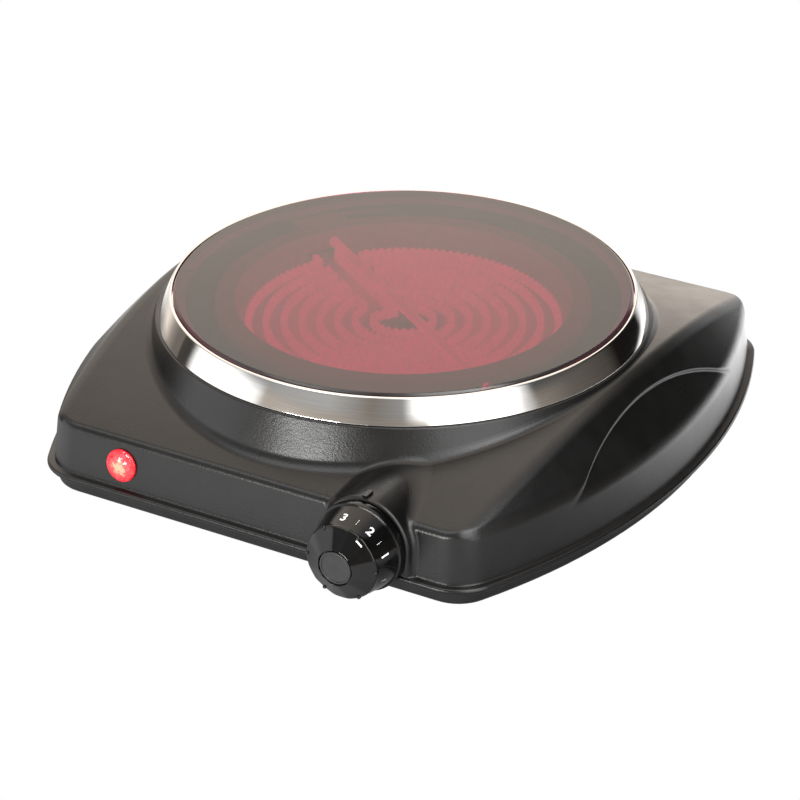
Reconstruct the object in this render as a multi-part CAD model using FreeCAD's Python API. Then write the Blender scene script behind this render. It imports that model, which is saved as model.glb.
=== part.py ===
import FreeCAD, Part
import math
import os

os.makedirs("parts", exist_ok=True)
V = FreeCAD.Vector

# Single infrared hot plate, in millimetres.  Z = 0 is the table, the Z axis is the
# centre line of the glass, -Y is the front with the dial, +Y is the cord side.

# ---- heights above the table -------------------------------------------------
FOOT_H = 6.0            # rubber foot under the base pan
PAN_H = 6.8             # height of the base pan's rim
LIP_H = 2.2             # height of the housing's bottom lip
EDGE_Z = 34.8           # top edge of the front and back walls
ARCH_Z = 53.9           # crown of the arched top
RISER_Z = 55.0          # flat top of the riser, where the trim ring sits
GLASS_Z = 65.3          # cooking surface

# ---- plan of the body at the foot of its walls ------------------------------
FRONT_Y = -115.0
BACK_Y = 117.0
BOW_R = 251.8           # radius of each bowed side
BOW_X = 130.0           # the bow's centre is this far across the middle
BOW_Y = 9.0
CORNER_R = 17.0
LIP_REACH = 3.0         # the lip stands out past the wall
WALL_LEAN = 0.118       # the walls lean in by this much per millimetre of height
SKIN = 1.0              # sheet steel

# ---- side facets and finger recesses ----------------------------------------
FACET_R = 249.4         # radius of the facet cone at EDGE_Z
FACET_RUN = 0.94        # its radius shrinks by this much per millimetre of height
RECESS_DEPTH = 2.2      # measured level
RECESS_R = 121.7        # arc of the recess, seen from the side
RECESS_TOP = 47.2
RECESS_Y = -4.0

# ---- riser, ring and glass ---------------------------------------------------
RISER_R = 97.0
RISER_LEAN = 0.36
RISER_HOLE_R = 88.0
RING_FOOT_R = 96.4
RING_TOP_R = 91.3
RING_TOP_Z = 64.5
RING_SEAT_R = 85.0
RING_SHEET = 0.8
RING_FLANGE_R = 89.0
GLASS_R = 90.0
GLASS_T = 4.0
SEAL_T = 0.5
STUD_AT_R = 91.6
STUD_R = 2.0
STUD_LENGTH = 12.0
WASHER_R = 4.0
WASHER_T = 0.8
NUT_H = 3.2

# ---- heater ------------------------------------------------------------------
HEATER_R = 74.0
HEATER_Z = 38.5         # underside of the heater pan
HEATER_RIM_Z = 57.0
HEATER_SHEET = 0.6
HEATER_TURN = 55.0      # the limiter sits at the back, to the left
INSULATION_TOP = 48.0
INSULATION_WALL = 7.2
GLASS_GAP = 0.3
RIBBON_W = 0.8
RIBBON_H = 5.5
RIBBON_PITCH = 7.0
RIBBON_FIRST_R = 12.0
RIBBON_LOOPS = 8
RIBBON_GAP = 9.0        # half the width of the straight gap in the loops
TAB_X = (-RIBBON_GAP, 0.0)   # where the ribbon's ends leave the heater
GROOVE_DEPTH = 1.5
ROD_Z = 55.5
ROD_R = 2.0

# ---- crossbar, springs and shield -------------------------------------------
BAR_Z = 31.5
BAR_T = 1.5
BAR_W = 18.0
BAR_FOOT_X = 80.0
BAR_END_X = 95.0
SPRING_X = 45.0
SPRING_SPAN = 32.0
SHIELD_Z = 28.0
SHIELD_R = 70.0
SHIELD_T = 0.6

# ---- dial --------------------------------------------------------------------
DIAL_X = 51.0
DIAL_Z = 25.0
BOSS_R = 18.2
BOSS_FACE_Y = -117.5
BOSS_BACK_Y = -60.0
KNOB_BACK_Y = -118.8
SKIRT_R = 17.6
GRIP_R = 14.6
SIDE_FOOT_R = 16.8
SKIRT_H = 3.0
GRIP_RIM_H = 15.2
KNOB_H = 19.7
CAP_R = 6.5
CAP_T = 0.8
SHAFT_R = 3.0
SHAFT_FIT = 0.08
REG_SIZE = V(28, 26, 20.6)
REG_DROP = 11.6         # its underside lies this far below the shaft
REG_PLATE_T = 1.5
REG_SCREW_X = 12.0

# ---- pilot lamp --------------------------------------------------------------
LAMP_X = -57.0
LAMP_Z = 24.5
LENS_R = 6.5
LAMP_SHANK_R = 5.0

# ---- cord entry and fixings --------------------------------------------------
GLAND_Z = 22.5
GLAND_END_Y = KNOB_H - KNOB_BACK_Y      # as far behind the centre as the knob is in front
GLAND_R = 6.5
GLAND_NOSE_R = 5.6
GLAND_HEX = 14.6        # across the flats
CORD_R = 3.6
FOOT_R = 9.0
FOOT_AT = [(73.0, -92.0), (76.0, 94.0)]
SCREW_R = 2.0
HOLE_PLAY = 0.3

# ---- worked out --------------------------------------------------------------
PAN_Z = FOOT_H
LIP_Z = PAN_Z + PAN_H
WALL_Z = LIP_Z + LIP_H
FLOOR_Z = PAN_Z + SKIN
GLASS_LOW = GLASS_Z - GLASS_T
SEAT_Z = GLASS_LOW - SEAL_T
MID_Y = (FRONT_Y + BACK_Y) / 2
EDGE_HALF = (BACK_Y - FRONT_Y) / 2 - WALL_LEAN * (EDGE_Z - WALL_Z)
ARCH_RISE = ARCH_Z - EDGE_Z
ARCH_R = (EDGE_HALF ** 2 + ARCH_RISE ** 2) / (2 * ARCH_RISE)
BIG = 400.0


# ---- helpers -----------------------------------------------------------------
def save(name, *solids):
    """Writes one node: one solid, or a group of separate solids."""
    shape = solids[0] if len(solids) == 1 else Part.makeCompound(list(solids))
    shape.exportStep("parts/" + name + ".step")


def box(low, high):
    return Part.makeBox(high[0] - low[0], high[1] - low[1], high[2] - low[2], V(*low))


def rod(radius, start, end):
    """Round bar between two points."""
    start, end = V(*start), V(*end)
    return Part.makeCylinder(radius, (end - start).Length, start, end - start)


def tube(inner, outer, start, end):
    return rod(outer, start, end).cut(rod(inner, start, end))


def turned(points):
    """Solid of revolution about Z from (radius, height) points."""
    corners = [V(r, 0, z) for r, z in points]
    face = Part.Face(Part.makePolygon(corners + corners[:1]))
    return face.revolve(V(0, 0, 0), V(0, 0, 1), 360)


def strip(points, axis, low, high):
    """Flat outline pushed along X or Y.  Points are (other axis, z)."""
    if axis == "x":
        corners = [V(low, a, z) for a, z in points]
        push = V(high - low, 0, 0)
    else:
        corners = [V(a, low, z) for a, z in points]
        push = V(0, high - low, 0)
    return Part.Face(Part.makePolygon(corners + corners[:1])).extrude(push)


def turned_about_z(shape, angle):
    return shape.rotated(V(0, 0, 0), V(0, 0, 1), angle)


def mirrored_x(shape):
    return shape.mirror(V(0, 0, 0), V(1, 0, 0))


def wire_run(points, radius, bend=6.0):
    """Insulated wire: straight runs joined by tangent arcs."""
    points = [V(*p) for p in points]
    edges = []
    start = points[0]
    for before, corner, after in zip(points, points[1:], points[2:]):
        back = (before - corner).normalize()
        ahead = (after - corner).normalize()
        turn = math.pi - back.getAngle(ahead)
        reach = bend * math.tan(turn / 2)
        enter = corner + back * reach
        leave = corner + ahead * reach
        middle = (back + ahead).normalize()
        centre = corner + middle * (bend / math.cos(turn / 2))
        edges.append(Part.LineSegment(start, enter).toShape())
        edges.append(Part.Arc(enter, centre - middle * bend, leave).toShape())
        start = leave
    edges.append(Part.LineSegment(start, points[-1]).toShape())
    path = Part.Wire(edges)
    ring = Part.Wire(Part.makeCircle(radius, points[0], points[1] - points[0]))
    return path.makePipeShell([ring], True, True)


def front_frame(shape, x, y, z, lean=0.0):
    """Stands a shape built along +Z so that it points out of the front wall."""
    shape = shape.rotated(V(0, 0, 0), V(1, 0, 0), 90 - lean)
    return shape.translated(V(x, y, z))


# ---- the body's outline and form --------------------------------------------
def plan_wire(grow, z):
    """Outline of the body: straight front and back, bowed sides, round corners."""
    bow, corner = BOW_R + grow, CORNER_R + grow
    bow_centre = V(-BOW_X, BOW_Y, z)

    def corner_centre(y):
        x = math.sqrt((BOW_R - CORNER_R) ** 2 - (y - BOW_Y) ** 2) - BOW_X
        return V(x, y, z)

    low, high = corner_centre(FRONT_Y + CORNER_R), corner_centre(BACK_Y - CORNER_R)
    front, back = low + V(0, -corner, 0), high + V(0, corner, 0)
    low_out = (low - bow_centre).normalize()
    high_out = (high - bow_centre).normalize()
    side_low, side_high = bow_centre + low_out * bow, bow_centre + high_out * bow
    low_mid = low + (low_out + V(0, -1, 0)).normalize() * corner
    high_mid = high + (high_out + V(0, 1, 0)).normalize() * corner
    right = [(front, low_mid, side_low),
             (side_low, bow_centre + V(bow, 0, 0), side_high),
             (side_high, high_mid, back)]

    def flip(p):
        return V(-p.x, p.y, p.z)

    edges = [Part.Arc(*arc).toShape() for arc in right]
    edges.append(Part.LineSegment(back, flip(back)).toShape())
    edges += [Part.Arc(flip(c), flip(b), flip(a)).toShape() for a, b, c in reversed(right)]
    edges.append(Part.LineSegment(flip(front), front).toShape())
    return Part.Wire(edges)


def plan_solid(grow, low, high):
    return Part.Face(plan_wire(grow, low)).extrude(V(0, 0, high - low))


def facet_cone(inset):
    """Everything inside the right-hand facet surface, moved in level by inset."""
    low, high = -50.0, 90.0
    low_r = FACET_R - inset + FACET_RUN * (EDGE_Z - low)
    high_r = FACET_R - inset - FACET_RUN * (high - EDGE_Z)
    return Part.makeCone(low_r, high_r, high - low, V(-BOW_X, BOW_Y, low))


def recess_tool(skin):
    """What the right-hand finger recess takes away."""
    radius = RECESS_R + skin
    centre_z = RECESS_TOP - RECESS_R
    reach = Part.makeCylinder(radius, BIG, V(60, RECESS_Y, centre_z), V(1, 0, 0))
    return reach.cut(facet_cone(RECESS_DEPTH + skin * math.hypot(1, FACET_RUN)))


def body_form(skin):
    """The housing as a full solid.  skin moves every face inwards."""
    low, high = WALL_Z - 12, RISER_Z + 5
    grow_low = -skin - WALL_LEAN * (low - WALL_Z)
    grow_high = -skin - WALL_LEAN * (high - WALL_Z)
    form = Part.makeLoft([plan_wire(grow_low, low), plan_wire(grow_high, high)], True, True)
    arch = Part.makeCylinder(ARCH_R - skin, 2 * BIG, V(-BIG, MID_Y, ARCH_Z - ARCH_R), V(1, 0, 0))
    cone = facet_cone(skin * math.hypot(1, FACET_RUN))
    form = form.common(arch).common(cone).common(mirrored_x(cone))
    recess = recess_tool(skin)
    form = form.cut(recess).cut(mirrored_x(recess))
    return form.fuse(riser_form(skin)).fuse(boss_form(skin))


def riser_form(skin):
    """Round step that carries the trim ring, reaching down through the arch."""
    low = EDGE_Z - 10
    foot_r = RISER_R - skin + RISER_LEAN * (RISER_Z - low)
    return Part.makeCone(foot_r, RISER_R - skin, RISER_Z - skin - low, V(0, 0, low))


def boss_form(skin):
    """Arched boss that carries the dial."""
    radius = BOSS_R - skin
    front = BOSS_FACE_Y + skin
    arch = rod(radius, (DIAL_X, front, DIAL_Z), (DIAL_X, BOSS_BACK_Y, DIAL_Z))
    arch = arch.cut(box((DIAL_X - 30, -200, -20), (DIAL_X + 30, 0, DIAL_Z)))
    low = WALL_Z - 12
    legs = box((DIAL_X - radius, front, low), (DIAL_X + radius, BOSS_BACK_Y, DIAL_Z))
    return arch.fuse(legs)


def front_face_y(z):
    """Outer face of the leaning front wall at height z."""
    return FRONT_Y + WALL_LEAN * (z - WALL_Z)


LEAN_DEG = math.degrees(math.atan(WALL_LEAN))


def on_front(shape):
    """Places a lamp piece, built along +Z, square on the leaning front wall."""
    return front_frame(shape, LAMP_X, front_face_y(LAMP_Z), LAMP_Z, LEAN_DEG)


def stud_places():
    return [(STUD_AT_R * math.cos(a), STUD_AT_R * math.sin(a))
            for a in (0, math.pi / 2, math.pi, 3 * math.pi / 2)]


def foot_places():
    return [(side * x, y) for x, y in FOOT_AT for side in (-1, 1)]


# ---- housing and base --------------------------------------------------------
def upper_shell():
    """The whole pressing: arched body and riser."""
    trim_low = box((-BIG, -BIG, -50), (BIG, BIG, LIP_Z))
    outer = body_form(0).cut(trim_low)
    lip = plan_solid(LIP_REACH, LIP_Z, WALL_Z)
    shell = outer.fuse(lip).cut(body_form(SKIN))
    shell = shell.cut(rod(RISER_HOLE_R, (0, 0, RISER_Z - 20), (0, 0, RISER_Z + 5)))
    hole = SCREW_R + HOLE_PLAY
    for x, y in stud_places():
        shell = shell.cut(rod(hole, (x, y, RISER_Z - 4), (x, y, RISER_Z + 4)))
    shell = shell.cut(rod(5.0, (DIAL_X, -125, DIAL_Z), (DIAL_X, -110, DIAL_Z)))
    for side in (-1, 1):
        x = DIAL_X + side * REG_SCREW_X
        shell = shell.cut(rod(hole, (x, -125, DIAL_Z), (x, -110, DIAL_Z)))
    shell = shell.cut(on_front(rod(LAMP_SHANK_R + 0.1, (0, 0, -5), (0, 0, 5))))
    return shell.cut(rod(GLAND_R + 0.1, (0, BACK_Y - 10, GLAND_Z), (0, BACK_Y + 10, GLAND_Z)))


def housing_and_riser():
    """The pressing in two nodes, met on the riser's outer surface."""
    shell = upper_shell()
    form = riser_form(0)
    return shell.cut(form), shell.common(form)


def base_pan():
    outer = plan_solid(-1.2, PAN_Z, LIP_Z)
    rim_edges = [e for e in outer.Edges if abs(e.CenterOfMass.z - PAN_Z) < 0.01]
    outer = outer.makeFillet(1.8, rim_edges)
    pan = outer.cut(plan_solid(-1.2 - SKIN, FLOOR_Z, LIP_Z + 1))
    for x, y in foot_places():
        pan = pan.cut(rod(SCREW_R + HOLE_PLAY, (x, y, 0), (x, y, 20)))
    for ring_r, count in ((24, 8), (40, 12), (56, 16)):
        for step in range(count):
            slot = box((ring_r - 5, -1.5, 0), (ring_r + 5, 1.5, 20))
            pan = pan.cut(turned_about_z(slot, step * 360 / count))
    return pan.removeSplitter()


def housing_bracket(x, back):
    """Z-shaped bracket welded inside the front or back wall, over a foot."""
    wall = FRONT_Y + SKIN + 0.05

    def inside(z):
        return wall + WALL_LEAN * (z - WALL_Z)

    step_y = FRONT_Y + 2.9
    points = [(inside(30), 30), (inside(14.5), 14.5), (step_y, 13.6), (step_y, FLOOR_Z),
              (-84, FLOOR_Z), (-84, 8.5), (step_y + 1.5, 8.5), (step_y + 1.5, 14.3),
              (inside(16) + 1.5, 16), (inside(30) + 1.5, 30)]
    if back:
        points = [(2 * MID_Y - y, z) for y, z in points]
    shape = strip(points, "x", x - 6, x + 6)
    y = FOOT_AT[1][1] if back else FOOT_AT[0][1]
    return shape.cut(rod(SCREW_R + 0.02, (x, y, 5), (x, y, 12)))


def rubber_foot(x, y):
    foot = Part.makeCone(FOOT_R - 1.2, FOOT_R, FOOT_H, V(x, y, 0))
    foot = foot.cut(rod(4.2, (x, y, -1), (x, y, 3)))
    return foot.cut(rod(SCREW_R + 0.1, (x, y, -1), (x, y, 10)))


def pan_head_screw(x, y, head_low, tip, head_r=3.8, head_t=1.8):
    """Screw driven upwards: head below, tip above."""
    head = rod(head_r, (x, y, head_low), (x, y, head_low + head_t))
    head = head.cut(box((x - 0.4, y - 3, head_low - 1), (x + 0.4, y + 3, head_low + 0.9)))
    return head.fuse(rod(SCREW_R, (x, y, head_low + head_t), (x, y, tip)))


# ---- ring, seal and glass ----------------------------------------------------
def trim_ring():
    wall = RING_SHEET
    seat_low = SEAT_Z - wall
    inner = GLASS_R + 0.4
    return turned([
        (RING_FLANGE_R, RISER_Z), (RING_FOOT_R, RISER_Z), (RING_TOP_R, RING_TOP_Z), (inner, RING_TOP_Z),
        (inner, SEAT_Z), (RING_SEAT_R, SEAT_Z), (RING_SEAT_R, seat_low), (inner + wall, seat_low),
        (inner + wall, RING_TOP_Z - 2 * wall), (RING_FOOT_R - 1.5 * wall, RISER_Z + wall),
        (RING_FLANGE_R, RISER_Z + wall)])


def glass_plate():
    plate = rod(GLASS_R, (0, 0, GLASS_LOW), (0, 0, GLASS_Z))
    rim = [e for e in plate.Edges if abs(e.CenterOfMass.z - GLASS_Z) < 0.01]
    return plate.makeFillet(1.6, rim)


def ring_fixings():
    studs, washers, nuts = [], [], []
    for x, y in stud_places():
        on_bar = abs(y) < 1
        seat = RISER_Z - SKIN - (BAR_T if on_bar else 0)
        studs.append(rod(STUD_R, (x, y, RISER_Z), (x, y, RISER_Z - STUD_LENGTH)))
        washers.append(tube(STUD_R + 0.1, WASHER_R, (x, y, seat), (x, y, seat - WASHER_T)))
        nuts.append(hex_nut(x, y, seat - WASHER_T - NUT_H, NUT_H))
    return studs, washers, nuts


def hex_nut(x, y, low, height, across=7.0, bore=None):
    bore = STUD_R + 0.02 if bore is None else bore
    radius = across / math.sqrt(3)
    corners = [V(x + radius * math.cos(k * math.pi / 3), y + radius * math.sin(k * math.pi / 3), low)
               for k in range(6)]
    body = Part.Face(Part.makePolygon(corners + corners[:1])).extrude(V(0, 0, height))
    return body.cut(rod(bore, (x, y, low - 1), (x, y, low + height + 1)))


# ---- heater ------------------------------------------------------------------
def in_heater(shape):
    """Turns a heater piece, built with its limiter at +Y, to its place."""
    return turned_about_z(shape, HEATER_TURN)


def rod_hole(radius):
    return rod(radius, (0, -100, ROD_Z), (0, 100, ROD_Z))


def heater_pan():
    outer = rod(HEATER_R, (0, 0, HEATER_Z), (0, 0, HEATER_RIM_Z))
    low_edge = [e for e in outer.Edges if abs(e.CenterOfMass.z - HEATER_Z) < 0.01]
    outer = outer.makeFillet(2.5, low_edge)
    inner = rod(HEATER_R - HEATER_SHEET, (0, 0, HEATER_Z + HEATER_SHEET), (0, 0, 99))
    low_edge = [e for e in inner.Edges if abs(e.CenterOfMass.z - HEATER_Z - HEATER_SHEET) < 0.01]
    inner = inner.makeFillet(1.9, low_edge)
    pan = outer.cut(inner).cut(rod_hole(ROD_R + 0.6))
    slot = box((TAB_X[0] - 3, 60, INSULATION_TOP - 2), (TAB_X[1] + 3, 80, INSULATION_TOP + 5))
    return in_heater(pan.cut(slot))


def ribbon_plan(width, low, height):
    """Loops with a straight gap at +Y, joined into one long path."""
    radii = [RIBBON_FIRST_R + i * RIBBON_PITCH for i in range(RIBBON_LOOPS)]
    half = width / 2
    gap = box((-RIBBON_GAP, 0, low - 1), (RIBBON_GAP, 90, low + height + 1))
    inner_y = math.sqrt(radii[0] ** 2 - RIBBON_GAP ** 2) - half
    path = box((-half, inner_y, low), (half, HEATER_R + 4, low + height))
    cross = box((-RIBBON_GAP - half, inner_y, low), (half, inner_y + width, low + height))
    path = path.fuse(cross)
    for index, radius in enumerate(radii):
        loop = tube(radius - half, radius + half, (0, 0, low), (0, 0, low + height))
        path = path.fuse(loop.cut(gap))
        side = 1 if index % 2 == 0 else -1
        start = math.sqrt(radius ** 2 - RIBBON_GAP ** 2)
        if index + 1 < len(radii):
            end = math.sqrt(radii[index + 1] ** 2 - RIBBON_GAP ** 2)
        else:
            end = HEATER_R + 4
        link = box((side * RIBBON_GAP - half, start - half, low),
                   (side * RIBBON_GAP + half, end + half, low + height))
        path = path.fuse(link)
    return path.removeSplitter()


def heating_ribbon():
    ribbon = ribbon_plan(RIBBON_W, INSULATION_TOP - GROOVE_DEPTH, RIBBON_H)
    return in_heater(ribbon.common(rod(HEATER_R - 8, (0, 0, 0), (0, 0, 99))))


def insulation_base():
    low = HEATER_Z + HEATER_SHEET
    inner_r = HEATER_R - HEATER_SHEET
    base = rod(inner_r, (0, 0, low), (0, 0, INSULATION_TOP))
    low_edge = [e for e in base.Edges if abs(e.CenterOfMass.z - low) < 0.01]
    base = base.makeFillet(2.2, low_edge)
    groove = ribbon_plan(RIBBON_W + 0.6, INSULATION_TOP - GROOVE_DEPTH, 5)
    return base.cut(in_heater(groove))


def insulation_wall():
    outer_r = HEATER_R - HEATER_SHEET
    top = GLASS_LOW - GLASS_GAP
    wall = tube(outer_r - INSULATION_WALL, outer_r, (0, 0, INSULATION_TOP), (0, 0, top))
    wall = wall.cut(rod_hole(ROD_R + 0.3))
    slot = box((TAB_X[0] - 3, 50, 0), (TAB_X[1] + 3, 80, INSULATION_TOP + 5))
    return in_heater(wall.cut(slot))


def limiter_rod():
    return in_heater(rod(ROD_R, (0, -70, ROD_Z), (0, 76, ROD_Z)))


def limiter_switch():
    return in_heater(box((-11, 76, 46), (11, 86, ROD_Z + 3.5)))


def limiter_blades():
    return [in_heater(box((x - 3, 80.6, 38), (x + 3, 81.4, 46))) for x in (-6, 6)]


def heater_tabs():
    """Ribbon ends brought out through the pan wall on small tabs."""
    tabs = [box((x - 0.4, HEATER_R - 8, 46.8), (x + 0.4, HEATER_R + 1.5, 51.8))
            for x in TAB_X]
    return [in_heater(tab) for tab in tabs]


def crossbar():
    low, high = BAR_Z, RISER_Z - SKIN
    foot, end, thick = BAR_FOOT_X, BAR_END_X, BAR_T
    right = [(0, low), (foot + thick, low), (foot + thick, high - thick), (end, high - thick),
             (end, high), (foot, high), (foot, low + thick), (0, low + thick)]
    left = [(-x, z) for x, z in reversed(right[1:-1])]
    bar = strip(right + left, "y", -BAR_W / 2, BAR_W / 2)
    for x in (-STUD_AT_R, STUD_AT_R):
        bar = bar.cut(rod(STUD_R + 0.3, (x, 0, 40), (x, 0, 60)))
    return bar.removeSplitter()


def leaf_spring(x):
    """Bowed strip between the crossbar and the heater pan."""
    rise = HEATER_Z - BAR_Z - BAR_T
    half = SPRING_SPAN / 2
    sheet = 0.6
    radius = (half ** 2 + rise ** 2) / (2 * rise)
    centre_z = BAR_Z + BAR_T + rise - radius
    bow = tube(radius - sheet, radius, (x, -6, centre_z), (x, 6, centre_z))
    return bow.common(box((x - 30, -9, BAR_Z + BAR_T), (x + 30, 9, HEATER_Z)))


def heat_shield():
    plate = rod(SHIELD_R, (0, 0, SHIELD_Z), (0, 0, SHIELD_Z + SHIELD_T))
    for x in (-60, 60):
        plate = plate.cut(rod(1.6, (x, 0, 0), (x, 0, 60)))
    return plate


def shield_spacers():
    """Shouldered rivets that hang the shield from the crossbar."""
    return [rod(3.5, (x, 0, SHIELD_Z + SHIELD_T), (x, 0, BAR_Z)).fuse(
        rod(1.55, (x, 0, SHIELD_Z), (x, 0, BAR_Z))).fuse(
        rod(2.8, (x, 0, SHIELD_Z - 0.8), (x, 0, SHIELD_Z))) for x in (-60, 60)]


# ---- dial and regulator ------------------------------------------------------
def on_dial(shape):
    """Places a dial piece, built along +Z from the knob's back face."""
    return front_frame(shape, DIAL_X, KNOB_BACK_Y, DIAL_Z)


def knob():
    hub_r, bore_r = 5.2, SHAFT_R + 0.03
    form = turned([(0, 0), (SKIRT_R - 0.2, 0), (SKIRT_R, 0.4), (SKIRT_R, SKIRT_H - 0.4),
                   (SKIRT_R - 0.4, SKIRT_H), (SIDE_FOOT_R, SKIRT_H), (GRIP_R, GRIP_RIM_H - 1.0),
                   (GRIP_R, KNOB_H), (0, KNOB_H)])
    low_flat, high_flat = GRIP_R - 0.6, CAP_R + 0.3

    def hexagon(flat, z):
        r = flat / math.cos(math.pi / 6)
        corners = [V(r * math.cos(k * math.pi / 3), r * math.sin(k * math.pi / 3), z)
                   for k in range(6)]
        return Part.makePolygon(corners + corners[:1])

    facets = Part.makeLoft([hexagon(low_flat, GRIP_RIM_H), hexagon(high_flat, KNOB_H)], True, True)
    keep = facets.fuse(rod(30, (0, 0, -1), (0, 0, GRIP_RIM_H)))
    body = form.common(keep)
    for k in range(6):
        angle = math.radians(30 + 60 * k)
        x, y = (GRIP_R - 0.5) * math.cos(angle), (GRIP_R - 0.5) * math.sin(angle)
        body = body.fuse(rod(0.9, (x, y, GRIP_RIM_H - 2), (x, y, GRIP_RIM_H + 0.7)))
    hollow = turned([(0, -1), (SIDE_FOOT_R - 1.4, -1), (SIDE_FOOT_R - 1.4, SKIRT_H),
                     (GRIP_R - 1.8, GRIP_RIM_H - 1.8), (0, GRIP_RIM_H - 1.8)])
    hollow = hollow.cut(rod(hub_r, (0, 0, 1.0), (0, 0, 20)))
    body = body.cut(hollow)
    body = body.cut(rod(bore_r, (0, 0, -1), (0, 0, GRIP_RIM_H - 3)))
    body = body.cut(rod(CAP_R, (0, 0, KNOB_H - CAP_T), (0, 0, KNOB_H + 1)))
    return on_dial(body)


def knob_cap():
    return on_dial(rod(CAP_R - 0.1, (0, 0, KNOB_H - CAP_T), (0, 0, KNOB_H)))


def knob_clip():
    """Spring sleeve round the knob's hub."""
    sleeve = tube(5.25, 5.7, (0, 0, 3.0), (0, 0, 8.0))
    return on_dial(sleeve.cut(box((-1, 0, 0), (1, 10, 20))))


def regulator_shaft():
    shaft = rod(SHAFT_R, (0, 0, -18), (0, 0, GRIP_RIM_H - 3.5))
    shaft = shaft.cut(box((-5, 2.0, 1.0), (5, 5, 20)))
    return on_dial(shaft)


def regulator_body():
    back_y = BOSS_FACE_Y + SKIN + REG_PLATE_T
    low = (DIAL_X - REG_SIZE.x / 2, back_y, DIAL_Z - REG_DROP)
    body = box(low, (low[0] + REG_SIZE.x, low[1] + REG_SIZE.y, low[2] + REG_SIZE.z))
    bore = rod(SHAFT_R + SHAFT_FIT, (DIAL_X, back_y - 5, DIAL_Z), (DIAL_X, back_y + 23, DIAL_Z))
    return body.cut(bore)


def regulator_plate():
    low_y = BOSS_FACE_Y + SKIN
    plate = box((DIAL_X - 16, low_y, DIAL_Z - 5.5), (DIAL_X + 16, low_y + REG_PLATE_T, DIAL_Z + 5.5))
    plate = plate.cut(rod(4.8, (DIAL_X, -125, DIAL_Z), (DIAL_X, -100, DIAL_Z)))
    for side in (-1, 1):
        x = DIAL_X + side * REG_SCREW_X
        plate = plate.cut(rod(SCREW_R + 0.02, (x, -125, DIAL_Z), (x, -100, DIAL_Z)))
    return plate


def regulator_screws():
    screws = []
    for side in (-1, 1):
        x = DIAL_X + side * REG_SCREW_X
        head = rod(3.2, (x, BOSS_FACE_Y - 1.5, DIAL_Z), (x, BOSS_FACE_Y, DIAL_Z))
        tip_y = BOSS_FACE_Y + SKIN + REG_PLATE_T
        screws.append(head.fuse(rod(SCREW_R, (x, BOSS_FACE_Y, DIAL_Z), (x, tip_y, DIAL_Z))))
    return screws


def regulator_blades():
    back = BOSS_FACE_Y + SKIN + REG_PLATE_T + REG_SIZE.y
    return [box((DIAL_X + x - 3, back, DIAL_Z + z - 0.4), (DIAL_X + x + 3, back + 8, DIAL_Z + z + 0.4))
            for x in (-8, 8) for z in (-8, 4)]


def pointer_mark():
    """Raised mark on the crown of the boss, over the dial."""
    top = DIAL_Z + BOSS_R
    mark = box((DIAL_X - 0.9, BOSS_FACE_Y + 0.2, top - 0.4), (DIAL_X + 0.9, BOSS_FACE_Y + 5, top + 1.1))
    return mark.cut(rod(BOSS_R, (DIAL_X, -130, DIAL_Z), (DIAL_X, -90, DIAL_Z)))


# ---- pilot lamp --------------------------------------------------------------
def lamp_lens():
    dome = turned([(0, 0), (LENS_R, 0), (LENS_R, 0.9), (LENS_R - 0.7, 1.3), (3.2, 2.6), (0, 2.6)])
    shank = rod(LAMP_SHANK_R, (0, 0, -12), (0, 0, 0))
    lens = dome.fuse(shank)
    return on_front(lens.cut(rod(LAMP_SHANK_R - 0.9, (0, 0, -13), (0, 0, -0.6))))


def lamp_clip():
    clip = tube(LAMP_SHANK_R + 0.05, 8.0, (0, 0, -2.2), (0, 0, -SKIN - 0.1))
    teeth = [turned_about_z(box((5.6, -1, -9), (9, 1, 0)), 60 * k) for k in range(6)]
    for tooth in teeth:
        clip = clip.cut(tooth)
    return on_front(clip)


def lamp_holder():
    holder = rod(LAMP_SHANK_R, (0, 0, -20), (0, 0, -12.1))
    return on_front(holder.cut(rod(2.7, (0, 0, -18), (0, 0, -12))))


def lamp_tube():
    glass = rod(2.5, (0, 0, -17.5), (0, 0, -3.5))
    tip = Part.makeSphere(2.5, V(0, 0, -3.5))
    return on_front(glass.fuse(tip))


# ---- cord entry, terminal block and earth ------------------------------------
def wall_back_y(z):
    return 2 * MID_Y - front_face_y(z)


def hex_along_y(start, length, bore):
    """Hexagonal collar on the cord's axis, from start, measured from the back wall."""
    body = hex_nut(0, 0, start, length, across=GLAND_HEX, bore=bore)
    body = body.rotated(V(0, 0, 0), V(1, 0, 0), -90)
    return body.translated(V(0, wall_back_y(GLAND_Z), GLAND_Z))


def cable_gland():
    """Threaded body through the back wall; the cord would pass through its bore."""
    wall = wall_back_y(GLAND_Z)
    shank = tube(CORD_R, GLAND_R, (0, wall - 12, GLAND_Z), (0, wall + 0.9, GLAND_Z))
    nose = tube(CORD_R, GLAND_NOSE_R, (0, wall + 4.9, GLAND_Z), (0, wall + 13, GLAND_Z))
    return shank.fuse(hex_along_y(0.9, 4.0, CORD_R)).fuse(nose)


def gland_cap():
    """Domed cap that screws onto the gland's nose."""
    wall = wall_back_y(GLAND_Z)
    collar_end = wall + 13.2
    dome = Part.makeCone(GLAND_HEX / 2, 5.0, GLAND_END_Y - collar_end,
                         V(0, collar_end, GLAND_Z), V(0, 1, 0))
    dome = dome.cut(rod(CORD_R, (0, wall, GLAND_Z), (0, GLAND_END_Y + 5, GLAND_Z)))
    return dome.fuse(hex_along_y(5.2, 8.0, GLAND_NOSE_R + 0.1))


def gland_nut():
    return hex_along_y(-7.1, 5.0, GLAND_R + 0.05)


BLOCK_Y = 62.0
BLOCK_X = (-12.0, 0.0, 12.0)


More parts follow.
